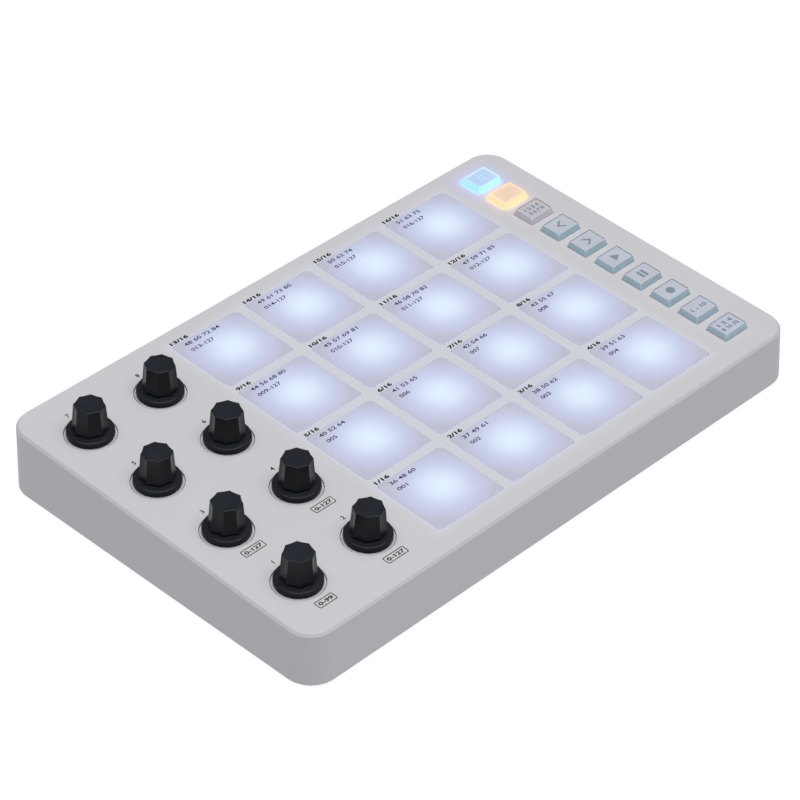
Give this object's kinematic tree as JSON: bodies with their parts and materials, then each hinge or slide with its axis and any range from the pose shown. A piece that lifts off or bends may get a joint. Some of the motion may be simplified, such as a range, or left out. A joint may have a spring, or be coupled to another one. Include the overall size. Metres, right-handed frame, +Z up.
{
  "type": "electronic percussion pad",
  "caption": "Wedge-shaped tabletop percussion pad with a grid of lit square pads, endless octagonal knobs and a column of small keys in a pale plastic case.",
  "frame": {"origin": "centre of the footprint on the surface that the feet stand on", "axes": "+X to the user's right along the longest side, +Y away from the user, +Z up"},
  "size_m": [0.2168, 0.1376, 0.0364],
  "materials": {
    "shell_white": "fine satin texture",
    "cover_grey": "fine satin texture",
    "board_green": "solder mask",
    "frame_white": "moulded",
    "film_amber": "film",
    "lamp_white": "clear lens",
    "contact_gold": "plated",
    "bright_metal": "plated",
    "chip_black": "moulded",
    "battery_silver": "laminate pouch",
    "jack_black": "moulded",
    "screw_steel": "plated",
    "foot_rubber": "matte",
    "pad_silicone": "translucent, lit from below",
    "key_cyan": "translucent, lit from below",
    "key_amber": "translucent, lit from below",
    "key_grey": "matte",
    "key_blue": "matte",
    "knob_black": "soft satin",
    "shaft_metal": "turned"
  },
  "bodies": {
    "housing": {"top_shell": "shell_white", "bottom_cover": "cover_grey", "main_board": "board_green", "pad_frame": "frame_white", "key_frame": "frame_white", "sensor_film": "film_amber", "lamps": "lamp_white", "key_contacts": "contact_gold", "encoder_bodies": "bright_metal", "control_chips": "chip_black", "battery": "battery_silver", "usb_socket": "bright_metal", "midi_jack": "jack_black", "power_switch_body": "bright_metal", "cover_screws": "screw_steel", "board_screws": "screw_steel", "rubber_feet": "foot_rubber"},
    "pad_1": {"pad_1": "pad_silicone"},
    "pad_2": {"pad_2": "pad_silicone"},
    "pad_3": {"pad_3": "pad_silicone"},
    "pad_4": {"pad_4": "pad_silicone"},
    "pad_5": {"pad_5": "pad_silicone"},
    "pad_6": {"pad_6": "pad_silicone"},
    "pad_7": {"pad_7": "pad_silicone"},
    "pad_8": {"pad_8": "pad_silicone"},
    "pad_9": {"pad_9": "pad_silicone"},
    "pad_10": {"pad_10": "pad_silicone"},
    "pad_11": {"pad_11": "pad_silicone"},
    "pad_12": {"pad_12": "pad_silicone"},
    "pad_13": {"pad_13": "pad_silicone"},
    "pad_14": {"pad_14": "pad_silicone"},
    "pad_15": {"pad_15": "pad_silicone"},
    "pad_16": {"pad_16": "pad_silicone"},
    "key_1": {"key_1": "key_cyan"},
    "key_2": {"key_2": "key_amber"},
    "key_3": {"key_3": "key_grey"},
    "key_4": {"key_4": "key_blue"},
    "key_5": {"key_5": "key_blue"},
    "key_6": {"key_6": "key_blue"},
    "key_7": {"key_7": "key_blue"},
    "key_8": {"key_8": "key_blue"},
    "key_9": {"key_9": "key_blue"},
    "key_10": {"key_10": "key_blue"},
    "knob_1": {"knob_1": "knob_black", "encoder_shaft_1": "shaft_metal"},
    "knob_2": {"knob_2": "knob_black", "encoder_shaft_2": "shaft_metal"},
    "knob_3": {"knob_3": "knob_black", "encoder_shaft_3": "shaft_metal"},
    "knob_4": {"knob_4": "knob_black", "encoder_shaft_4": "shaft_metal"},
    "knob_5": {"knob_5": "knob_black", "encoder_shaft_5": "shaft_metal"},
    "knob_6": {"knob_6": "knob_black", "encoder_shaft_6": "shaft_metal"},
    "knob_7": {"knob_7": "knob_black", "encoder_shaft_7": "shaft_metal"},
    "knob_8": {"knob_8": "knob_black", "encoder_shaft_8": "shaft_metal"},
    "power_switch": {"power_switch_slider": "jack_black"}
  },
  "joints": [
    {"name": "pad_1_press", "type": "slide", "parent": "housing", "child": "pad_1", "axis": [0, -0.0366, 0.9993], "range_m": [-0.0006, 0], "stiffness_N_per_m": 900},
    {"name": "pad_2_press", "type": "slide", "parent": "housing", "child": "pad_2", "axis": [0, -0.0366, 0.9993], "range_m": [-0.0006, 0], "stiffness_N_per_m": 900},
    {"name": "pad_3_press", "type": "slide", "parent": "housing", "child": "pad_3", "axis": [0, -0.0366, 0.9993], "range_m": [-0.0006, 0], "stiffness_N_per_m": 900},
    {"name": "pad_4_press", "type": "slide", "parent": "housing", "child": "pad_4", "axis": [0, -0.0366, 0.9993], "range_m": [-0.0006, 0], "stiffness_N_per_m": 900},
    {"name": "pad_5_press", "type": "slide", "parent": "housing", "child": "pad_5", "axis": [0, -0.0366, 0.9993], "range_m": [-0.0006, 0], "stiffness_N_per_m": 900},
    {"name": "pad_6_press", "type": "slide", "parent": "housing", "child": "pad_6", "axis": [0, -0.0366, 0.9993], "range_m": [-0.0006, 0], "stiffness_N_per_m": 900},
    {"name": "pad_7_press", "type": "slide", "parent": "housing", "child": "pad_7", "axis": [0, -0.0366, 0.9993], "range_m": [-0.0006, 0], "stiffness_N_per_m": 900},
    {"name": "pad_8_press", "type": "slide", "parent": "housing", "child": "pad_8", "axis": [0, -0.0366, 0.9993], "range_m": [-0.0006, 0], "stiffness_N_per_m": 900},
    {"name": "pad_9_press", "type": "slide", "parent": "housing", "child": "pad_9", "axis": [0, -0.0366, 0.9993], "range_m": [-0.0006, 0], "stiffness_N_per_m": 900},
    {"name": "pad_10_press", "type": "slide", "parent": "housing", "child": "pad_10", "axis": [0, -0.0366, 0.9993], "range_m": [-0.0006, 0], "stiffness_N_per_m": 900},
    {"name": "pad_11_press", "type": "slide", "parent": "housing", "child": "pad_11", "axis": [0, -0.0366, 0.9993], "range_m": [-0.0006, 0], "stiffness_N_per_m": 900},
    {"name": "pad_12_press", "type": "slide", "parent": "housing", "child": "pad_12", "axis": [0, -0.0366, 0.9993], "range_m": [-0.0006, 0], "stiffness_N_per_m": 900},
    {"name": "pad_13_press", "type": "slide", "parent": "housing", "child": "pad_13", "axis": [0, -0.0366, 0.9993], "range_m": [-0.0006, 0], "stiffness_N_per_m": 900},
    {"name": "pad_14_press", "type": "slide", "parent": "housing", "child": "pad_14", "axis": [0, -0.0366, 0.9993], "range_m": [-0.0006, 0], "stiffness_N_per_m": 900},
    {"name": "pad_15_press", "type": "slide", "parent": "housing", "child": "pad_15", "axis": [0, -0.0366, 0.9993], "range_m": [-0.0006, 0], "stiffness_N_per_m": 900},
    {"name": "pad_16_press", "type": "slide", "parent": "housing", "child": "pad_16", "axis": [0, -0.0366, 0.9993], "range_m": [-0.0006, 0], "stiffness_N_per_m": 900},
    {"name": "key_1_press", "type": "slide", "parent": "housing", "child": "key_1", "axis": [0, -0.0366, 0.9993], "range_m": [-0.0008, 0], "stiffness_N_per_m": 300},
    {"name": "key_2_press", "type": "slide", "parent": "housing", "child": "key_2", "axis": [0, -0.0366, 0.9993], "range_m": [-0.0008, 0], "stiffness_N_per_m": 300},
    {"name": "key_3_press", "type": "slide", "parent": "housing", "child": "key_3", "axis": [0, -0.0366, 0.9993], "range_m": [-0.0008, 0], "stiffness_N_per_m": 300},
    {"name": "key_4_press", "type": "slide", "parent": "housing", "child": "key_4", "axis": [0, -0.0366, 0.9993], "range_m": [-0.0008, 0], "stiffness_N_per_m": 300},
    {"name": "key_5_press", "type": "slide", "parent": "housing", "child": "key_5", "axis": [0, -0.0366, 0.9993], "range_m": [-0.0008, 0], "stiffness_N_per_m": 300},
    {"name": "key_6_press", "type": "slide", "parent": "housing", "child": "key_6", "axis": [0, -0.0366, 0.9993], "range_m": [-0.0008, 0], "stiffness_N_per_m": 300},
    {"name": "key_7_press", "type": "slide", "parent": "housing", "child": "key_7", "axis": [0, -0.0366, 0.9993], "range_m": [-0.0008, 0], "stiffness_N_per_m": 300},
    {"name": "key_8_press", "type": "slide", "parent": "housing", "child": "key_8", "axis": [0, -0.0366, 0.9993], "range_m": [-0.0008, 0], "stiffness_N_per_m": 300},
    {"name": "key_9_press", "type": "slide", "parent": "housing", "child": "key_9", "axis": [0, -0.0366, 0.9993], "range_m": [-0.0008, 0], "stiffness_N_per_m": 300},
    {"name": "key_10_press", "type": "slide", "parent": "housing", "child": "key_10", "axis": [0, -0.0366, 0.9993], "range_m": [-0.0008, 0], "stiffness_N_per_m": 300},
    {"name": "knob_1_turn", "type": "hinge", "parent": "housing", "child": "knob_1", "pos_m": [-0.09158, -0.04634, 0.02129], "axis": [0, -0.0366, 0.9993], "continuous": true},
    {"name": "knob_2_turn", "type": "hinge", "parent": "housing", "child": "knob_2", "pos_m": [-0.06288, -0.04634, 0.02129], "axis": [0, -0.0366, 0.9993], "continuous": true},
    {"name": "knob_3_turn", "type": "hinge", "parent": "housing", "child": "knob_3", "pos_m": [-0.09158, -0.01562, 0.02242], "axis": [0, -0.0366, 0.9993], "continuous": true},
    {"name": "knob_4_turn", "type": "hinge", "parent": "housing", "child": "knob_4", "pos_m": [-0.06288, -0.01562, 0.02242], "axis": [0, -0.0366, 0.9993], "continuous": true},
    {"name": "knob_5_turn", "type": "hinge", "parent": "housing", "child": "knob_5", "pos_m": [-0.09158, 0.01511, 0.02354], "axis": [0, -0.0366, 0.9993], "continuous": true},
    {"name": "knob_6_turn", "type": "hinge", "parent": "housing", "child": "knob_6", "pos_m": [-0.06288, 0.01511, 0.02354], "axis": [0, -0.0366, 0.9993], "continuous": true},
    {"name": "knob_7_turn", "type": "hinge", "parent": "housing", "child": "knob_7", "pos_m": [-0.09158, 0.04584, 0.02467], "axis": [0, -0.0366, 0.9993], "continuous": true},
    {"name": "knob_8_turn", "type": "hinge", "parent": "housing", "child": "knob_8", "pos_m": [-0.06288, 0.04584, 0.02467], "axis": [0, -0.0366, 0.9993], "continuous": true},
    {"name": "power_switch_slide", "type": "slide", "parent": "housing", "child": "power_switch", "axis": [1, 0, 0], "range_m": [0, 0.002]}
  ]
}
